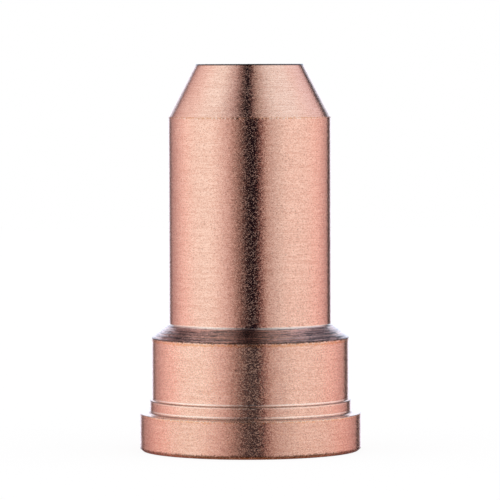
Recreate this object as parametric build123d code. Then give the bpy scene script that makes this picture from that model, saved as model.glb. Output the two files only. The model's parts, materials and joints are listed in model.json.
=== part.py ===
from build123d import *
import os
from math import radians, tan

# Plasma torch nozzle, extended pattern: one piece turned from copper bar.
# It stands on its flanged rear end, with the nose up and the arc's orifice on the Z axis.
# All lengths are millimetres and all angles are degrees.

# Outside diameters and radial steps
SPIGOT_DIA = 17.8        # land that centres the nozzle in the torch's retaining cap
COLLAR_STEP = 0.2        # how far the stop collar stands out from the spigot
FLANGE_LEDGE = 0.9       # how far the flange stands out from the collar
BARREL_DIA = 14.65       # long slim barrel that reaches into the work
NOSE_DIA = 9.65          # flat front face

# Lengths along the axis, from the rear face to the nose
FLANGE_LENGTH = 3.4
COLLAR_LENGTH = 1.2
SPIGOT_LENGTH = 5.6
SHOULDER_LENGTH = 1.2
BARREL_LENGTH = 18.7
NOSE_LENGTH = 4.8

# Inside, bored from the rear
SOCKET_DIA = 13.2        # locates on the gas swirl ring
SOCKET_DEPTH = 6.0
CHAMBER_DIA = 10.2       # the electrode stands in here with gas all round it
THROAT_ANGLE = 90.0      # included angle of the cone that leads to the orifice
ORIFICE_DIA = 1.4
ORIFICE_LENGTH = 3.0

# Edges and corners left by the tools
CORNER_RADIUS = 0.25     # nose radius of the turning tool, left where a wall rises from a ledge or cone
EDGE_BREAK = 0.05        # light deburr of the other edges
REAR_CHAMFER = 0.25      # parting-off chamfer round the foot of the flange
SOCKET_LEAD_IN = 0.4
THROAT_BLEND = 0.6       # radius where the chamber turns into the throat cone
ORIFICE_EXIT_BREAK = 0.1

# Radii
spigot_r = SPIGOT_DIA / 2
collar_r = spigot_r + COLLAR_STEP
flange_r = collar_r + FLANGE_LEDGE
barrel_r = BARREL_DIA / 2
nose_r = NOSE_DIA / 2
socket_r = SOCKET_DIA / 2
chamber_r = CHAMBER_DIA / 2
orifice_r = ORIFICE_DIA / 2

# Levels above the rear face
flange_top = FLANGE_LENGTH
collar_top = flange_top + COLLAR_LENGTH
spigot_top = collar_top + SPIGOT_LENGTH
shoulder_top = spigot_top + SHOULDER_LENGTH
barrel_top = shoulder_top + BARREL_LENGTH
nose_tip = barrel_top + NOSE_LENGTH
orifice_inlet = nose_tip - ORIFICE_LENGTH
throat_start = orifice_inlet - (chamber_r - orifice_r) / tan(radians(THROAT_ANGLE / 2))

# Corners of the half section, as (radius, level)
REAR_RIM = (flange_r, 0)
FLANGE_EDGE = (flange_r, flange_top)
FLANGE_CORNER = (collar_r, flange_top)
COLLAR_EDGE = (collar_r, collar_top)
COLLAR_CORNER = (spigot_r, collar_top)
SPIGOT_EDGE = (spigot_r, spigot_top)
SHOULDER_CORNER = (barrel_r, shoulder_top)
BARREL_EDGE = (barrel_r, barrel_top)
NOSE_EDGE = (nose_r, nose_tip)
ORIFICE_EXIT = (orifice_r, nose_tip)
ORIFICE_INLET = (orifice_r, orifice_inlet)
THROAT_CORNER = (chamber_r, throat_start)
CHAMBER_MOUTH = (chamber_r, SOCKET_DEPTH)
SOCKET_CORNER = (socket_r, SOCKET_DEPTH)
SOCKET_MOUTH = (socket_r, 0)

SECTION = [
    REAR_RIM, FLANGE_EDGE, FLANGE_CORNER, COLLAR_EDGE, COLLAR_CORNER, SPIGOT_EDGE, SHOULDER_CORNER,
    BARREL_EDGE, NOSE_EDGE, ORIFICE_EXIT, ORIFICE_INLET, THROAT_CORNER, CHAMBER_MOUTH, SOCKET_CORNER,
    SOCKET_MOUTH,
]

# The collar's narrow ledge and the socket's floor keep sharp inside corners, so that the mating parts seat.
ROUNDED_CORNERS = [FLANGE_CORNER, SHOULDER_CORNER]
BROKEN_EDGES = [FLANGE_EDGE, COLLAR_EDGE, SPIGOT_EDGE, BARREL_EDGE, NOSE_EDGE, CHAMBER_MOUTH]


def corners(sketch, *places):
    """The sketch's vertices at these (radius, level) places."""
    points = [Vector(radius, level) for radius, level in places]
    return [min(sketch.vertices(), key=lambda v: (Vector(v) - point).length) for point in points]


def half_section():
    """The turned profile on one side of the axis, with its fillets and chamfers."""
    with BuildSketch(Plane.XZ) as section:
        with BuildLine():
            Polyline(*SECTION, close=True)
        make_face()
        fillet(corners(section, *ROUNDED_CORNERS), CORNER_RADIUS)
        fillet(corners(section, THROAT_CORNER), THROAT_BLEND)
        chamfer(corners(section, *BROKEN_EDGES), EDGE_BREAK)
        chamfer(corners(section, REAR_RIM), REAR_CHAMFER)
        chamfer(corners(section, SOCKET_MOUTH), SOCKET_LEAD_IN)
        chamfer(corners(section, ORIFICE_EXIT), ORIFICE_EXIT_BREAK)
    return section.sketch


def turned_nozzle():
    """The whole nozzle: its half section swept once round the axis."""
    with BuildPart() as nozzle:
        add(half_section())
        revolve(axis=Axis.Z)
    return nozzle.part


os.makedirs("parts", exist_ok=True)
export_step(turned_nozzle(), "parts/nozzle.step")
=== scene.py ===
import json
from math import pi, radians, tan

import bmesh
import bpy
from bpy.props import FloatProperty, FloatVectorProperty, IntProperty, PointerProperty
from mathutils import Euler, Matrix, Vector, noise


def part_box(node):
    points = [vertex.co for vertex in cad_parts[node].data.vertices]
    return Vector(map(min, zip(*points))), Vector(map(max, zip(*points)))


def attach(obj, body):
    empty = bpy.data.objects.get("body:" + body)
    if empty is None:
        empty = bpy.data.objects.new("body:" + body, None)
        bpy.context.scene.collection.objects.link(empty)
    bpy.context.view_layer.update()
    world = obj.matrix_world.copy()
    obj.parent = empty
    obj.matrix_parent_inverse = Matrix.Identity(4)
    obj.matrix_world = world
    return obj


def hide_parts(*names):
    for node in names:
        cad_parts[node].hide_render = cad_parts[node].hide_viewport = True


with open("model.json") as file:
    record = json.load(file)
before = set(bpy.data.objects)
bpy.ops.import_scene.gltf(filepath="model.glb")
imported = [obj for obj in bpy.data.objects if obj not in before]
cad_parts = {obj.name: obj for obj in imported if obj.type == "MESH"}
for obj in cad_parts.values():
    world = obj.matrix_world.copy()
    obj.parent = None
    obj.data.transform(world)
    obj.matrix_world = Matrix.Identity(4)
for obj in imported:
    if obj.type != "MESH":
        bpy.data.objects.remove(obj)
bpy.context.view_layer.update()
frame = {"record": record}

bl_info = {
    "name": "Plasma Torch Nozzle",
    "version": (1, 0, 0),
    "blender": (4, 5, 0),
    "location": "View3D > Sidebar > Nozzle",
    "description": "A turned copper nozzle with its finish, on a white studio stage",
    "category": "Object",
}

NODE = "nozzle"
MM = 0.001
LOW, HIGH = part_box(NODE)
MOUNTS = {mount["name"]: mount for mount in frame["record"]["mounts"]}


def mount_diameter(name):
    """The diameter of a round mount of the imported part, in metres."""
    return 2 * MOUNTS[name]["dims"]["r_mm"] * MM


def length(name, default, description):
    """A size in metres."""
    return FloatProperty(name=name, description=description, default=default, min=0, unit="LENGTH",
                         subtype="DISTANCE", precision=5)


def colour(name, default, description):
    """A linear colour."""
    return FloatVectorProperty(name=name, description=description, default=default, size=3, min=0, max=1,
                               subtype="COLOR")


def share(name, default, description):
    """A number from nothing to all."""
    return FloatProperty(name=name, description=description, default=default, min=0, max=1, subtype="FACTOR")


def angle(name, degrees, description):
    """An angle, given in degrees."""
    return FloatProperty(name=name, description=description, default=radians(degrees), subtype="ANGLE")


class NozzleSizes(bpy.types.PropertyGroup):
    """The turned section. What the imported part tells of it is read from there."""

    flange_diameter: length("Flange diameter", HIGH.x - LOW.x, "Widest diameter, at the foot")
    collar_step: length("Collar step", 0.2 * MM, "How far the collar stands out from the spigot")
    spigot_diameter: length("Spigot diameter", mount_diameter("spigot"), "Land that centres it in the cap")
    barrel_diameter: length("Barrel diameter", 14.65 * MM, "Long slim barrel")
    nose_diameter: length("Nose diameter", 9.65 * MM, "Flat front face")
    flange_length: length("Flange length", MOUNTS["flange_front"]["pos_m"][2], "Thickness of the flange")
    collar_length: length("Collar length", 1.2 * MM, "Length of the stop collar")
    spigot_length: length("Spigot length", 5.6 * MM, "Length of the spigot")
    shoulder_length: length("Shoulder length", 1.2 * MM, "Height of the cone under the barrel")
    nose_length: length("Nose length", 4.8 * MM, "Height of the nose's cone")
    socket_diameter: length("Socket diameter", mount_diameter("socket"), "Rear bore, for the swirl ring")
    socket_depth: length("Socket depth", 6.0 * MM, "Depth of the rear bore")
    chamber_diameter: length("Chamber diameter", mount_diameter("electrode_chamber"), "Electrode's bore")
    throat_angle: angle("Throat angle", 90, "Included angle of the cone that leads to the orifice")
    orifice_diameter: length("Orifice diameter", mount_diameter("orifice"), "Hole that the arc leaves by")
    orifice_length: length("Orifice length", 3.0 * MM, "Length of that hole")
    flange_fillet: length("Flange fillet", 0.25 * MM, "Tool radius between the flange and the collar")
    collar_fillet: length("Collar fillet", 0.105 * MM, "Tool radius on the collar's narrow ledge")
    shoulder_fillet: length("Shoulder fillet", 0.2875 * MM, "Tool radius between shoulder and barrel")
    edge_break: length("Edge break", 0.05 * MM, "Light deburr of the edges")
    worn_edge: length("Worn edge", 0.09 * MM, "Rounding of the flange's, the collar's and the nose's edge")
    rear_chamfer: length("Rear chamfer", 0.25 * MM, "Chamfer round the foot")
    socket_lead_in: length("Lead-in", 0.4 * MM, "Chamfer at the mouth of the rear bore")
    throat_blend: length("Throat blend", 0.6 * MM, "Radius between the chamber and the throat")
    burr_height: length("Burr height", 0.025 * MM, "How far the ragged edges wander")
    burr_pitch: length("Burr pitch", 0.16 * MM, "How far apart the burrs are")
    steps: IntProperty(name="Steps", description="Facets round the axis", default=720, min=64, max=1024)


class CopperFinish(bpy.types.PropertyGroup):
    """The bright turned copper."""

    pale: colour("Pale copper", (1.0, 0.68, 0.545), "Colour of the lines that shine most")
    warm: colour("Warm copper", (0.80, 0.47, 0.36), "Colour of the lines between them")
    # The painted highlight colour: pale lines at the corners and ledges, and glints on the edges
    bright: colour("Burnished copper", (1.0, 0.86, 0.76), "Colour of burnished corners, ledges and sparks")
    orange: colour("Orange copper", (0.80, 0.36, 0.15), "Colour of metal torn at edges and in the grain")
    # Also the painted shade of the dark lines in the step corners and of the foot's chamfer
    tarnish_and_painted_shade: colour("Tarnish", (0.10, 0.05, 0.03), "Dark brown of dirty edges and specks")
    grime: colour("Grime", (0.08, 0.075, 0.08), "Dark grey of the scored shoulder and the rim of the nose")
    flange_tint: colour("Flange tint", (0.95, 0.92, 0.91), "What the flange keeps of the copper's colour")
    shoulder_tint: colour("Shoulder tint", (0.66, 0.56, 0.62), "Violet that dulls the shoulder")
    specks: share("Specks", 0.25, "Strength of the small dark specks")
    dulling: share("Dulling", 0.3, "Strength of the shoulder's tint")
    scoring: share("Scoring", 0.64, "Strength of the dark streaks on the shoulder")
    dashes: share("Dashes", 0.75, "Strength of the short dark dashes on the shoulder")
    rim: share("Rim", 0.95, "Strength of the dark rim of the nose")
    # The flange's ledge is painted pale: a painted reflection of the backdrop
    ledge_painted_reflection: share("Ledge shine", 0.3, "Strength of the bright metal on the flange's ledge")
    roughness: share("Roughness", 0.15, "Middle roughness of the turned walls")
    across_grain: share("Across the grain", 0.85, "How much more light spreads across the turning lines")
    line_depth: length("Line depth", 0.006 * MM, "Depth of the turning lines")
    flake_swing: share("Flake swing", 0.075, "How far the flakes of the grain lean round the axis")
    flake_slope: share("Flake slope", 0.04, "How far the flakes of the grain lean along the axis")


class StudioSettings(bpy.types.PropertyGroup):
    """The camera and the light, as in a white product shot."""

    distance: length("Camera distance", 373 * MM, "From the nozzle's axis to the camera")
    aim_height: length("Aim height", 18.10 * MM, "Level on the axis at the middle of the picture")
    frame_width: length("Frame width", 45.15 * MM, "Width of the picture at the nozzle's axis")
    roll: angle("Roll", -0.18, "Lean of the nozzle in the picture")
    floor_radius: length("Floor radius", 500 * MM, "Size of the round floor")
    floor_drop: length("Floor drop", 0.01 * MM, "Gap between the foot and the floor")
    floor_colour: colour("Floor colour", (0.86, 0.86, 0.86), "Plain pale floor")
    floor_glow: share("Floor glow", 0.9, "Share of the floor's white that shadows don't reach")
    ground_colour: colour("Ground colour", (0.17, 0.08, 0.05), "Light from straight below")
    lamp_strength: FloatProperty(name="Lamp strength", description="Lamp over the floor", default=2.2, min=0)
    lamp_spread: angle("Lamp spread", 110, "How wide that lamp is, as the floor sees it")


class Wire:
    """A socket in an expression: arithmetic on it adds Math nodes."""

    def __init__(self, graph, socket):
        self.graph = graph
        self.socket = socket

    def math(self, operation, *values):
        """Adds one Math node."""
        return self.graph.node("ShaderNodeMath", {"operation": operation}, values)

    def __add__(self, other):
        return self.math("ADD", self, other)

    def __radd__(self, other):
        return self.math("ADD", other, self)

    def __sub__(self, other):
        return self.math("SUBTRACT", self, other)

    def __rsub__(self, other):
        return self.math("SUBTRACT", other, self)

    def __mul__(self, other):
        return self.math("MULTIPLY", self, other)

    def __rmul__(self, other):
        return self.math("MULTIPLY", other, self)

    def __truediv__(self, other):
        return self.math("DIVIDE", self, other)

    def __pow__(self, other):
        return self.math("POWER", self, other)

    def __abs__(self):
        return self.math("ABSOLUTE", self)


class Graph:
    """A node tree that is filled one node at a time."""

    def __init__(self, tree):
        self.tree = tree
        tree.nodes.clear()

    def node(self, kind, settings=None, sockets=(), output=None):
        """Adds a node, sets it, then fills its sockets, in order or by name. Gives an output as a Wire."""
        node = self.tree.nodes.new(kind)
        for name, value in (settings or {}).items():
            setattr(node, name, value)
        pairs = sockets.items() if isinstance(sockets, dict) else enumerate(sockets)
        shown = [socket for socket in node.inputs if socket.enabled]
        for key, value in pairs:
            target = shown[key] if isinstance(key, int) else next(s for s in shown if s.name == key)
            if isinstance(value, Wire):
                self.tree.links.new(value.socket, target)
            else:
                target.default_value = value
        ends = [socket for socket in node.outputs if socket.enabled]
        if not ends:
            return None
        return Wire(self, ends[0] if output is None else next(s for s in ends if s.name == output))

    def ramp(self, value, start, end, low=0.0, high=1.0):
        """A smooth step of value, from low at start to high at end."""
        return self.node("ShaderNodeMapRange", {"interpolation_type": "SMOOTHSTEP"},
                         (value, start, end, low, high))

    def most(self, masks):
        """The greatest of several masks."""
        greatest = masks[0]
        for mask in masks[1:]:
            greatest = self.node("ShaderNodeMath", {"operation": "MAXIMUM"}, (greatest, mask))
        return greatest

    def mix(self, factor, first, second, blend="MIX"):
        """A mix of two colours."""
        settings = {"data_type": "RGBA", "blend_type": blend}
        return self.node("ShaderNodeMix", settings, {"Factor": factor, "A": first, "B": second})

    def split(self, vector):
        """The three parts of a vector."""
        return [self.node("ShaderNodeSeparateXYZ", sockets=(vector,), output=axis) for axis in "XYZ"]

    def join(self, x, y, z):
        """A vector from three numbers."""
        return self.node("ShaderNodeCombineXYZ", sockets=(x, y, z))

    def noise(self, vector, scale, detail=0):
        """Soft noise, from 0 to 1."""
        sockets = {"Vector": vector, "Scale": scale, "Detail": detail}
        return self.node("ShaderNodeTexNoise", sockets=sockets, output="Fac")

    def flakes(self, vector, scale):
        """Three random numbers for each small cell, from 0 to 1."""
        sockets = {"Vector": vector, "Scale": scale}
        return self.split(self.node("ShaderNodeTexVoronoi", sockets=sockets, output="Color"))

    def direct_view(self):
        """1 for what the camera sees itself, also through clear things, and 0 for reflections and light."""
        seen = self.node("ShaderNodeLightPath", output="Is Camera Ray")
        through = self.node("ShaderNodeLightPath", output="Is Transmission Ray")
        return self.most((seen, through))


WHITE = (1.0, 1.0, 1.0, 1.0)
QUARTER_TURN = 0.25


def rgba(values):
    """A colour with its alpha."""
    return (*values, 1.0)


# The nozzle

def section_corners(size):
    """The half section's corners, up the outside and back inside, as name: (radius, level, rounding)."""
    spigot_r = size.spigot_diameter / 2
    collar_r = spigot_r + size.collar_step
    flange_r = size.flange_diameter / 2
    barrel_r = size.barrel_diameter / 2
    nose_r = size.nose_diameter / 2
    socket_r = size.socket_diameter / 2
    chamber_r = size.chamber_diameter / 2
    orifice_r = size.orifice_diameter / 2
    flange_top = size.flange_length
    collar_top = flange_top + size.collar_length
    spigot_top = collar_top + size.spigot_length
    shoulder_top = spigot_top + size.shoulder_length
    nose_tip = HIGH.z - LOW.z
    barrel_top = nose_tip - size.nose_length
    orifice_inlet = nose_tip - size.orifice_length
    throat_start = orifice_inlet - (chamber_r - orifice_r) / tan(size.throat_angle / 2)
    edge = size.edge_break
    return {
        "rear_rim": (flange_r - size.rear_chamfer, 0, edge),
        "flange_foot": (flange_r, size.rear_chamfer, edge),
        "flange_edge": (flange_r, flange_top, size.worn_edge),
        "flange_corner": (collar_r, flange_top, size.flange_fillet),
        "collar_edge": (collar_r, collar_top, size.worn_edge),
        "collar_corner": (spigot_r, collar_top, size.collar_fillet),
        "spigot_edge": (spigot_r, spigot_top, edge),
        "shoulder_corner": (barrel_r, shoulder_top, size.shoulder_fillet),
        "barrel_edge": (barrel_r, barrel_top, edge),
        "nose_edge": (nose_r, nose_tip, size.worn_edge),
        "orifice_exit": (orifice_r, nose_tip, edge),
        "orifice_inlet": (orifice_r, orifice_inlet, edge),
        "throat_corner": (chamber_r, throat_start, size.throat_blend),
        "chamber_mouth": (chamber_r, size.socket_depth, edge),
        "socket_corner": (socket_r, size.socket_depth, edge),
        "socket_lip": (socket_r, size.socket_lead_in, edge),
        "socket_mouth": (socket_r + size.socket_lead_in, 0, edge),
    }


# Facets of the roundings: one larger than this size gets more of them
LARGE_ROUNDING = 0.1 * MM
LARGE_FACETS = 5
SMALL_FACETS = 3

# Edges that the tools left ragged
BURRED = ("flange_foot", "flange_edge", "spigot_edge", "barrel_edge", "nose_edge")

# How ragged the marks along the edges are: orange torn metal, dark dirt and painted shade at the foot,
# painted shade lines in the corners, painted highlight lines and painted glints
RAGGEDNESS = {"orange": 2.5, "dark": 2.5, "line": 0.8, "bright": 0.8, "spark": 2.5}

# The marks: kind, place, height above it and reach in millimetres, strength
EDGE_MARKS = (
    ("orange", "flange_edge", -0.11, 0.13, 0.65),
    # At the foot, orange and dark are torn metal and dirt, and also painted shade that the chamfer mirrors
    ("orange", "flange_foot", -0.13, 0.16, 0.85),
    ("orange", "spigot_edge", -0.19, 0.16, 0.65),
    ("orange", "barrel_edge", 0.0, 0.10, 0.5),
    ("orange", "nose_edge", -0.16, 0.10, 0.4),
    # Dark dirt on the burrs; at the foot it is also painted shade
    ("dark", "flange_foot", 0.02, 0.13, 0.7),
    ("dark", "flange_edge", 0.03, 0.12, 0.75),
    ("dark", "spigot_edge", 0.02, 0.13, 0.9),
    ("dark", "barrel_edge", 0.0, 0.09, 0.2),
    # Painted shade: dark lines in the corners of the steps
    ("line", "flange_corner", 0.02, 0.19, 0.6),
    ("line", "collar_edge", 0.0, 0.12, 0.75),
    # Painted glints on the ragged edges
    ("spark", "flange_edge", -0.13, 0.07, 0.6),
    ("spark", "spigot_edge", -0.14, 0.08, 0.45),
    ("spark", "barrel_edge", -0.04, 0.07, 0.8),
    # Painted highlights: pale lines along the corners and ledges
    ("bright", "flange_edge", -0.06, 0.06, 0.3),
    ("bright", "flange_corner", 0.25, 0.07, 0.9),
    ("bright", "collar_edge", -0.16, 0.06, 0.5),
    ("bright", "collar_corner", 0.13, 0.08, 0.9),
    ("bright", "shoulder_corner", 0.04, 0.13, 0.95),
)


def round_corner(mesh, corner, radius):
    """Rounds one corner of the half section to a radius."""
    before, after = (edge.other_vert(corner).co - corner.co for edge in corner.link_edges)
    reach = radius / tan(before.angle(after) / 2)
    facets = LARGE_FACETS if radius > LARGE_ROUNDING else SMALL_FACETS
    bmesh.ops.bevel(mesh, geom=[corner], offset=reach, offset_type="OFFSET", segments=facets, profile=0.5,
                    affect="VERTICES", material=-1)


def support_walls(mesh, near, far):
    """Adds two rings at each end of every long wall, so that the burrs on its edges don't shade the wall."""
    walls = [edge for edge in mesh.edges if edge.calc_length() > 3 * far]
    for wall in walls:
        for end in wall.verts[:]:
            strip, _ = bmesh.utils.edge_split(wall, end, far / wall.calc_length())
            bmesh.utils.edge_split(strip, end, near / far)


def wander(place, pitch, seed):
    """Ragged noise at a point of an edge, about -1 to 1, with finer noise on top."""
    point = place / pitch + Vector((seed, 0, 0))
    finer = 2.3 * point
    return noise.noise(point) + 0.6 * noise.noise(finer)


def raise_burrs(mesh, corners, size):
    """Lets the edges that the tools left wander up and down and in, and a little way out, as burrs do."""
    reach = 1.5 * size.edge_break
    farthest_out = 0.4 * size.burr_height
    for number, name in enumerate(BURRED):
        radius, level, _ = corners[name]
        seed = 17 * number
        for vertex in mesh.verts:
            out = Vector((vertex.co.x, vertex.co.y, 0))
            gap = Vector((out.length - radius, vertex.co.z - level, 0)).length
            if gap < reach:
                height = size.burr_height * (1 - gap / reach)
                lift = height * wander(vertex.co, size.burr_pitch, seed)
                vertex.co += out.normalized() * min(lift, farthest_out)
                vertex.co.z += height * wander(vertex.co, size.burr_pitch, seed + 7)


def spin_round(mesh, steps, doublings=4):
    """Spins the half section through a short arc, then doubles the arc until it closes."""
    turn = 2 * pi / 2 ** doublings
    bmesh.ops.spin(mesh, geom=mesh.verts[:] + mesh.edges[:], cent=(0, 0, 0), axis=(0, 0, 1), dvec=(0, 0, 0),
                   angle=turn, steps=steps // 2 ** doublings, use_merge=False, use_duplicate=False)
    for _ in range(doublings):
        copy = bmesh.ops.duplicate(mesh, geom=mesh.verts[:] + mesh.edges[:] + mesh.faces[:])["geom"]
        moved = [item for item in copy if isinstance(item, bmesh.types.BMVert)]
        bmesh.ops.rotate(mesh, cent=(0, 0, 0), matrix=Matrix.Rotation(turn, 3, "Z"), verts=moved)
        turn *= 2


def nozzle_mesh(size):
    """The half section, rounded at its corners, spun round the axis and burred."""
    mesh = bmesh.new()
    corners = section_corners(size)
    places = [mesh.verts.new((radius, 0, level)) for radius, level, _ in corners.values()]
    for first, second in zip(places, places[1:] + places[:1]):
        mesh.edges.new((first, second))
    for corner, (_, _, rounding) in zip(places, corners.values()):
        round_corner(mesh, corner, rounding)
    support_walls(mesh, 2 * size.edge_break, 4 * size.edge_break)
    spin_round(mesh, size.steps)
    bmesh.ops.remove_doubles(mesh, verts=mesh.verts, dist=size.edge_break / 50)
    raise_burrs(mesh, corners, size)
    bmesh.ops.recalc_face_normals(mesh, faces=mesh.faces)
    for face in mesh.faces:
        face.smooth = True
    return mesh


class TurnedSkin:
    """The nozzle's surface: where its points lie, and the patterns that the tool left on it."""

    def __init__(self, graph, size):
        self.graph = graph
        self.corners = section_corners(size)
        self.place = graph.node("ShaderNodeTexCoord", output="Object")
        self.x, self.y, self.z = graph.split(self.place)
        self.radius = (self.x * self.x + self.y * self.y) ** 0.5
        # This changes along walls, cones and ledges alike, so that lines run round all of them
        self.along = self.z - self.radius
        self.grain = self.drawn_noise(pace=0.65, scale=10000)
        self.lines = self.drawn_noise(pace=0.15, scale=18000)
        self.feed = self.drawn_noise(pace=0.04, scale=11000, detail=1)
        self.streaks = self.drawn_noise(pace=0.1, scale=2500, detail=3)
        self.scoring = self.drawn_noise(pace=0.05, scale=3000, detail=3)
        flecks = self.drawn_noise(pace=0.6, scale=10500, shift=20 * MM)
        self.specks = graph.ramp(flecks, 0.64, 0.74)
        self.swing, torn, self.shade = graph.flakes(self.drawn_out(pace=0.7), scale=15500)
        self.chips = graph.ramp(torn, 0.68, 0.8)
        self.lands = self.above("spigot_edge", 0, 0.1, 1, 0)
        self.shoulder = self.above("spigot_edge", -0.02, 0.02) * self.above("shoulder_corner", 0, 0.1, 1, 0)
        self.shoulder = self.shoulder * self.outside("shoulder_corner", -0.3, 0)
        self.ledge = graph.ramp(self.off_level("flange_edge"), 0.01 * MM, 0.03 * MM, 1, 0)
        self.ledge = self.ledge * self.outside("flange_corner", 0.1, 0.3)

    def drawn_out(self, pace, shift=0.0):
        """Points for a pattern that is drawn out round the axis: the lower its pace, the longer it is."""
        return self.graph.join(self.x * pace, self.y * pace, self.along + shift)

    def drawn_noise(self, pace, scale, detail=0, shift=0.0):
        """Soft noise, drawn out round the axis."""
        return self.graph.noise(self.drawn_out(pace, shift), scale, detail)

    def above(self, name, start, end, low=0.0, high=1.0):
        """A smooth step in height, between two heights above a corner in millimetres."""
        level = self.corners[name][1]
        return self.graph.ramp(self.z, level + start * MM, level + end * MM, low, high)

    def outside(self, name, start, end):
        """A smooth step in radius, between two distances outside a corner in millimetres."""
        edge = self.corners[name][0]
        return self.graph.ramp(self.radius, edge + start * MM, edge + end * MM)

    def off_level(self, name, above=0.0):
        """How far a point is from the level of a corner, or from one some millimetres above it."""
        return abs(self.z - (self.corners[name][1] + above * MM))

    def gap(self, name, above=0.0):
        """How far a point is from a corner, or from a place some millimetres above it."""
        aside = self.radius - self.corners[name][0]
        higher = self.z - (self.corners[name][1] + above * MM)
        return (aside * aside + higher * higher) ** 0.5


def lined_copper(skin, finish):
    """The colour of the turned walls: pale and warm lines, dark specks, and orange chips in the grain."""
    graph = skin.graph
    nose = skin.above("barrel_edge", 0, 0.1)
    feed_strength = 0.45 + 0.3 * nose
    tone = 0.36 * skin.shade + feed_strength * (skin.feed - 0.5) + 0.15 * skin.lines + 0.1 * skin.streaks
    tone = graph.ramp(tone, 0.085, 0.525)
    copper = graph.mix(tone, rgba(finish.warm), rgba(finish.pale))
    copper = graph.mix(skin.specks * finish.specks, copper, rgba(finish.tarnish_and_painted_shade))
    copper = graph.mix(skin.chips * (0.05 + 0.15 * skin.lands), copper, rgba(finish.orange))
    flange = skin.above("flange_edge", -0.05, 0, 1, 0)
    return graph.mix(flange, copper, rgba(finish.flange_tint), "MULTIPLY")


def scored_shoulder(skin, finish, copper):
    """The same colour with the shoulder dulled and scored, and a painted highlight: one pale ring round it.
    """
    graph = skin.graph
    copper = graph.mix(skin.shoulder * finish.dulling, copper, rgba(finish.shoulder_tint))
    streaks = graph.ramp(0.75 * skin.scoring + 0.25 * skin.shade, 0.47, 0.55, 0, finish.scoring)
    copper = graph.mix(skin.shoulder * streaks, copper, rgba(finish.grime))
    dashes = graph.ramp(skin.drawn_noise(pace=0.12, scale=5000, detail=1), 0.57, 0.65, 0, finish.dashes)
    copper = graph.mix(skin.shoulder * dashes, copper, rgba(finish.grime))
    # A painted highlight: a pale ring where a cut round the shoulder would catch the light
    painted_groove_highlight = graph.ramp(skin.off_level("spigot_edge", 0.47), 0.02 * MM, 0.06 * MM, 0.5, 0)
    return graph.mix(skin.shoulder * painted_groove_highlight, copper, rgba(finish.pale))


def edge_masks(skin):
    """A mask for each kind of mark along the edges. Dark marks and painted glints are broken into crumbs."""
    graph = skin.graph
    torn = graph.noise(skin.place, scale=5200, detail=1)
    crumbs = graph.noise(skin.place, scale=7400)
    marks = {kind: [] for kind in RAGGEDNESS}
    for kind, name, above, reach, strength in EDGE_MARKS:
        ragged = skin.gap(name, above) + (torn - 0.5) * (RAGGEDNESS[kind] * reach * MM)
        marks[kind].append(graph.ramp(ragged, 0.3 * reach * MM, reach * MM, strength, 0))
    masks = {kind: graph.most(found) for kind, found in marks.items()}
    masks["dark"] = masks["dark"] * graph.ramp(crumbs, 0.25, 0.5, 0.3, 1)
    masks["spark"] = masks["spark"] * graph.ramp(crumbs, 0.53, 0.6)
    return masks


def marked_edges(skin, finish, copper, masks):
    """The same colour with the marks along the edges, the nose's dark rim and the ledge's painted
    reflection.
    """
    graph = skin.graph
    rim = graph.ramp(skin.gap("nose_edge"), 0.11 * MM, 0.18 * MM, finish.rim, 0)
    layers = (
        (masks["orange"], finish.orange),
        # Dirt on the burrs, and painted shade at the foot
        (masks["dark"], finish.tarnish_and_painted_shade),
        # Painted shade in the corners of the steps
        (masks["line"], finish.tarnish_and_painted_shade),
        # Painted highlights along the corners, and painted glints on the edges
        (masks["bright"], finish.bright),
        (masks["spark"], finish.bright),
        (rim, finish.grime),
        # Painted reflection on the flange's ledge
        (skin.ledge * finish.ledge_painted_reflection, finish.bright),
    )
    for mask, paint in layers:
        copper = graph.mix(mask, copper, rgba(paint))
    return copper


def turned_normal(skin, finish):
    """The normal: turning lines and scoring as bump, and flakes of the grain that lean their own ways."""
    graph = skin.graph
    height = 0.5 * skin.lines + 0.3 * skin.streaks + 0.5 * skin.grain - 0.3 * skin.specks
    height = height + skin.shoulder * (9 * skin.scoring + 3 * skin.feed)
    sockets = {"Strength": 1.0, "Distance": finish.line_depth, "Height": height}
    bump = graph.node("ShaderNodeBump", sockets=sockets)
    swing = (skin.swing - 0.5) * finish.flake_swing
    slope = (skin.shade - 0.5) * finish.flake_slope
    lean = graph.join((0 - skin.y) / skin.radius * swing, skin.x / skin.radius * swing, slope)
    normal = graph.node("ShaderNodeVectorMath", {"operation": "ADD"}, (bump, lean))
    return graph.node("ShaderNodeVectorMath", {"operation": "NORMALIZE"}, (normal,))


def turned_copper(finish, size):
    """Bright copper with turning lines round the axis, a fine grain, and tarnished burrs on its edges."""
    material = bpy.data.materials.new("turned_copper")
    material.use_nodes = True
    graph = Graph(material.node_tree)
    skin = TurnedSkin(graph, size)
    masks = edge_masks(skin)
    copper = lined_copper(skin, finish)
    copper = scored_shoulder(skin, finish, copper)
    copper = marked_edges(skin, finish, copper, masks)
    blotches = graph.noise(skin.place, scale=260, detail=3)
    roughness = finish.roughness + 0.06 * (skin.lines - 0.5) + 0.04 * (blotches - 0.5)
    roughness = roughness + 0.1 * skin.specks + 0.15 * masks["orange"]
    roughness = roughness * (1 - 0.5 * skin.ledge)
    # Chips scatter some light, so that they show as specks where the copper mirrors the dark
    scatter = (0.17 + 0.06 * skin.lands) * skin.chips * (1 - skin.shoulder) + 0.04 * skin.lands
    surface = graph.node("ShaderNodeBsdfPrincipled", sockets={
        "Base Color": copper,
        "Metallic": 1 - scatter,
        "Roughness": roughness,
        "Anisotropic": finish.across_grain,
        "Anisotropic Rotation": QUARTER_TURN,
        "Normal": turned_normal(skin, finish),
    })
    graph.node("ShaderNodeOutputMaterial", sockets={"Surface": surface})
    return material


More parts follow.
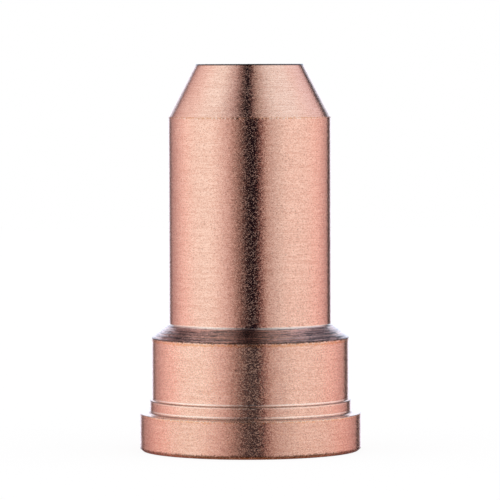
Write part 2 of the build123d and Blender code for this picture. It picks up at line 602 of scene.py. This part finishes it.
class NOZZLE_OT_body(bpy.types.Operator):
    """Turn the nozzle and give it its copper finish"""

    bl_idname = "nozzle.body"
    bl_label = "Turned nozzle"

    def execute(self, context):
        size = context.scene.nozzle_sizes
        mesh = nozzle_mesh(size)
        data = bpy.data.meshes.new("turned_nozzle")
        mesh.to_mesh(data)
        mesh.free()
        data.materials.append(turned_copper(context.scene.nozzle_finish, size))
        piece = bpy.data.objects.new("turned_nozzle", data)
        context.collection.objects.link(piece)
        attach(piece, "root")
        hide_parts(NODE)
        return {"FINISHED"}


# The stage

# Red, green and blue of the white backdrop, the haze beside it, the light from the floor and the dark gap
BACKDROP = (1.0, 1.13, 1.36)
HAZE = (1.0, 1.35, 1.7)
FLOOR_LIGHT = (1.0, 0.58, 0.54)
DARK_GAP = (0.0, 0.0, 0.006)


class Sky:
    """Directions round the nozzle: angles to the right and to the left of the camera, and height."""

    def __init__(self, graph):
        self.graph = graph
        x, y, z = graph.split(graph.node("ShaderNodeTexCoord", output="Generated"))
        self.right = graph.node("ShaderNodeMath", {"operation": "ARCTAN2"}, (x, 0 - y))
        self.left = 0 - self.right
        self.across = abs(self.right)
        self.height = graph.node("ShaderNodeMath", {"operation": "ARCSINE"}, (z,))
        # How far a direction is above the horizon, and how far below it
        self.rise = self.over(self.height, 5, 50)
        self.fall = self.under(self.height, -10, -1.5)

    def over(self, direction, start, end, low=0.0, high=1.0):
        """A smooth step between two angles in degrees."""
        return self.graph.ramp(direction, radians(start), radians(end), low, high)

    def under(self, direction, start, end):
        """A smooth step down between two angles in degrees."""
        return self.over(direction, start, end, 1, 0)

    def band(self, direction, start, full, fade, end):
        """1 from full to fade, and 0 before start and after end, in degrees."""
        return self.over(direction, start, full) * self.under(direction, fade, end)


def past_strips(sky):
    """What the dark strips between the side lights and the backdrop leave of the light."""
    # Two high on both sides, one at the nose's heights, and two that give the walls their dark edge lines
    strips = (
        0.55 * sky.over(sky.across, 118, 140) * sky.over(sky.height, 30, 40),
        0.6 * sky.over(sky.across, 146, 154) * sky.over(sky.height, 18, 28),
        0.4 * sky.over(sky.right, 130, 142) * sky.band(sky.height, 4, 9, 14, 24),
        0.88 * sky.band(sky.right, 141, 147, 153, 161) * sky.under(sky.height, 22, 32),
        0.5 * sky.band(sky.left, 144, 150, 156, 164) * sky.under(sky.height, 14, 24),
    )
    kept = 1 - strips[0]
    for strip in strips[1:]:
        kept = kept * (1 - strip)
    return kept


def side_lights(sky):
    """Two wide lights with a dark gap on the camera's side: their red, and their green and blue."""
    left_start = sky.left - radians(5) * sky.rise
    right_start = sky.right + radians(9) * sky.rise
    left = 0.635 * sky.over(left_start, 0, 35) + 0.40 * sky.over(sky.left - radians(8) * sky.rise, 20, 58)
    left = left * (1 - 0.11 * sky.fall)
    right = 0.56 * sky.over(right_start, 8, 27) + 0.475 * sky.over(right_start, 14, 62)
    right = right * (1 - 0.35 * sky.fall) * (1 - 0.05 * sky.rise)
    # The lights reach further back at the heights that the nose mirrors
    reach = radians(8) * sky.band(sky.height, 8, 20, 26, 36)
    left_end = sky.left - reach
    right_end = sky.right - reach
    far = 0.1 * sky.over(sky.across, 136, 147) * sky.under(sky.height, 4, 10)
    red = left * sky.under(left_end, 95, 182) + right * sky.under(right_end, 101, 181) + far
    # They are warmer at both ends: their green and blue start lower and end sooner
    left = left * sky.under(left_end, 82, 177) * sky.over(left_start, 3, 66, 0.68, 1)
    right = right * sky.under(right_end, 84, 180) * sky.over(right_start, 11, 27, 0.48, 0.86)
    right = right * sky.over(sky.right, 24, 45, 1, 1.14)
    rest = left + right + far
    kept = past_strips(sky)
    return red * kept, rest * kept * (1 - 0.33 * sky.fall * sky.over(sky.across, 65, 110))


def studio_light(sky):
    """The red, green and blue of the light from every direction."""
    red, rest = side_lights(sky)
    # Cooler high on the right, pinker low on the right, and amber beside the dark gap
    cool = sky.over(sky.right, 20, 90) * sky.rise + 6 * sky.over(sky.right, 95, 145) * sky.rise
    blush = sky.band(sky.right, 20, 60, 92, 112) * (1 - sky.rise)
    green = rest * (1 + 0.065 * sky.rise + 0.06 * cool - 0.05 * blush)
    amber = 0.08 * sky.under(sky.across, 14, 34)
    blue = rest * (1 + 0.105 * sky.rise + 0.11 * cool - 0.05 * blush - amber)
    # The ceiling is dark, most of all above the camera
    ceiling = sky.over(sky.height, 45, 87, 1, 0.02) * (1 - 0.03 * sky.rise)
    ceiling = ceiling * (1 - 0.95 * sky.over(sky.height, 56, 66) * sky.under(sky.across, 15, 50))
    backdrop = sky.over(sky.across, 157, 169) * sky.band(sky.height, -9, -6, 20, 32)
    haze = 0.5 * sky.over(sky.across, 150, 160) * sky.band(sky.height, 4, 10, 16, 28) * (1 - backdrop)
    floor = sky.over(sky.height, -7, -2.7, 0.03, 0) * sky.under(sky.across, 20, 70)
    light = []
    for side, *shares in zip((red, green, blue), BACKDROP, HAZE, FLOOR_LIGHT, DARK_GAP):
        of_backdrop, of_haze, of_floor, of_gap = shares
        upper = (side + of_backdrop * backdrop + of_haze * haze) * ceiling
        light.append(upper + of_floor * floor + of_gap)
    return light


def studio_world(studio):
    """Soft light from both sides under a dark ceiling; the camera itself sees plain white all round."""
    world = bpy.data.worlds.new("studio")
    world.use_nodes = True
    graph = Graph(world.node_tree)
    sky = Sky(graph)
    light = graph.node("ShaderNodeCombineColor", sockets=studio_light(sky))
    light = graph.mix(sky.over(sky.height, -62, -25), rgba(studio.ground_colour), light)
    shown = graph.mix(graph.direct_view(), light, WHITE)
    background = graph.node("ShaderNodeBackground", sockets={"Color": shown, "Strength": 1.0})
    graph.node("ShaderNodeOutputWorld", sockets={"Surface": background})
    return world


def pale_floor(studio):
    """A pale floor that looks white and keeps the nozzle's shadow."""
    material = bpy.data.materials.new("pale_floor")
    material.use_nodes = True
    material.cycles.emission_sampling = "NONE"
    graph = Graph(material.node_tree)
    matte = graph.node("ShaderNodeBsdfDiffuse", sockets={"Color": rgba(studio.floor_colour)})
    glow = graph.node("ShaderNodeEmission", sockets={"Color": WHITE, "Strength": 1.0})
    white_share = graph.direct_view() * studio.floor_glow
    surface = graph.node("ShaderNodeMixShader", sockets=(white_share, matte, glow))
    graph.node("ShaderNodeOutputMaterial", sockets={"Surface": surface})
    return material


def studio_camera(context, studio):
    """A long lens, level with the nose, looking a little down at the middle of the nozzle."""
    lens = bpy.data.cameras.new("studio_camera")
    lens.lens = lens.sensor_width * studio.distance / studio.frame_width
    lens.clip_start = 10 * MM
    camera = bpy.data.objects.new("studio_camera", lens)
    place = Vector((0, -studio.distance, HIGH.z))
    aim = Vector((0, 0, studio.aim_height))
    camera.location = place
    turn = (aim - place).to_track_quat("-Z", "Y").to_matrix() @ Euler((0, 0, studio.roll)).to_matrix()
    camera.rotation_euler = turn.to_euler()
    context.collection.objects.link(camera)
    context.scene.camera = camera


class NOZZLE_OT_stage(bpy.types.Operator):
    """Set up the white floor, the soft light and the camera"""

    bl_idname = "nozzle.stage"
    bl_label = "White studio"

    def execute(self, context):
        studio = context.scene.nozzle_studio
        mesh = bmesh.new()
        bmesh.ops.create_circle(mesh, cap_ends=True, radius=studio.floor_radius, segments=96)
        bmesh.ops.translate(mesh, verts=mesh.verts, vec=(0, 0, LOW.z - studio.floor_drop))
        data = bpy.data.meshes.new("floor")
        mesh.to_mesh(data)
        mesh.free()
        data.materials.append(pale_floor(studio))
        floor = bpy.data.objects.new("floor", data)
        context.collection.objects.link(floor)
        # The copper mirrors the studio's light and not the floor, and the floor doesn't shade it
        floor.visible_glossy = False
        floor.visible_shadow = False
        lamp = bpy.data.lights.new("floor_lamp", "SUN")
        lamp.energy = studio.lamp_strength
        lamp.angle = studio.lamp_spread
        overhead = bpy.data.objects.new("floor_lamp", lamp)
        overhead.visible_glossy = False
        context.collection.objects.link(overhead)
        context.scene.world = studio_world(studio)
        context.scene.view_settings.view_transform = "Standard"
        studio_camera(context, studio)
        return {"FINISHED"}


class NOZZLE_PT_panel(bpy.types.Panel):
    """The nozzle's sizes, finish and stage"""

    bl_idname = "NOZZLE_PT_panel"
    bl_label = "Plasma torch nozzle"
    bl_space_type = "VIEW_3D"
    bl_region_type = "UI"
    bl_category = "Nozzle"

    def draw(self, context):
        scene = context.scene
        steps = ((NOZZLE_OT_body, (scene.nozzle_sizes, scene.nozzle_finish)),
                 (NOZZLE_OT_stage, (scene.nozzle_studio,)))
        for operator, groups in steps:
            self.layout.operator(operator.bl_idname)
            for group in groups:
                for name in group.__annotations__:
                    self.layout.prop(group, name)


CLASSES = (NozzleSizes, CopperFinish, StudioSettings, NOZZLE_OT_body, NOZZLE_OT_stage, NOZZLE_PT_panel)


def register():
    for cls in CLASSES:
        bpy.utils.register_class(cls)
    bpy.types.Scene.nozzle_sizes = PointerProperty(type=NozzleSizes)
    bpy.types.Scene.nozzle_finish = PointerProperty(type=CopperFinish)
    bpy.types.Scene.nozzle_studio = PointerProperty(type=StudioSettings)


def unregister():
    del bpy.types.Scene.nozzle_studio
    del bpy.types.Scene.nozzle_finish
    del bpy.types.Scene.nozzle_sizes
    for cls in reversed(CLASSES):
        bpy.utils.unregister_class(cls)


def main():
    register()
    bpy.ops.nozzle.body()
    bpy.ops.nozzle.stage()


if __name__ == "__main__":
    main()
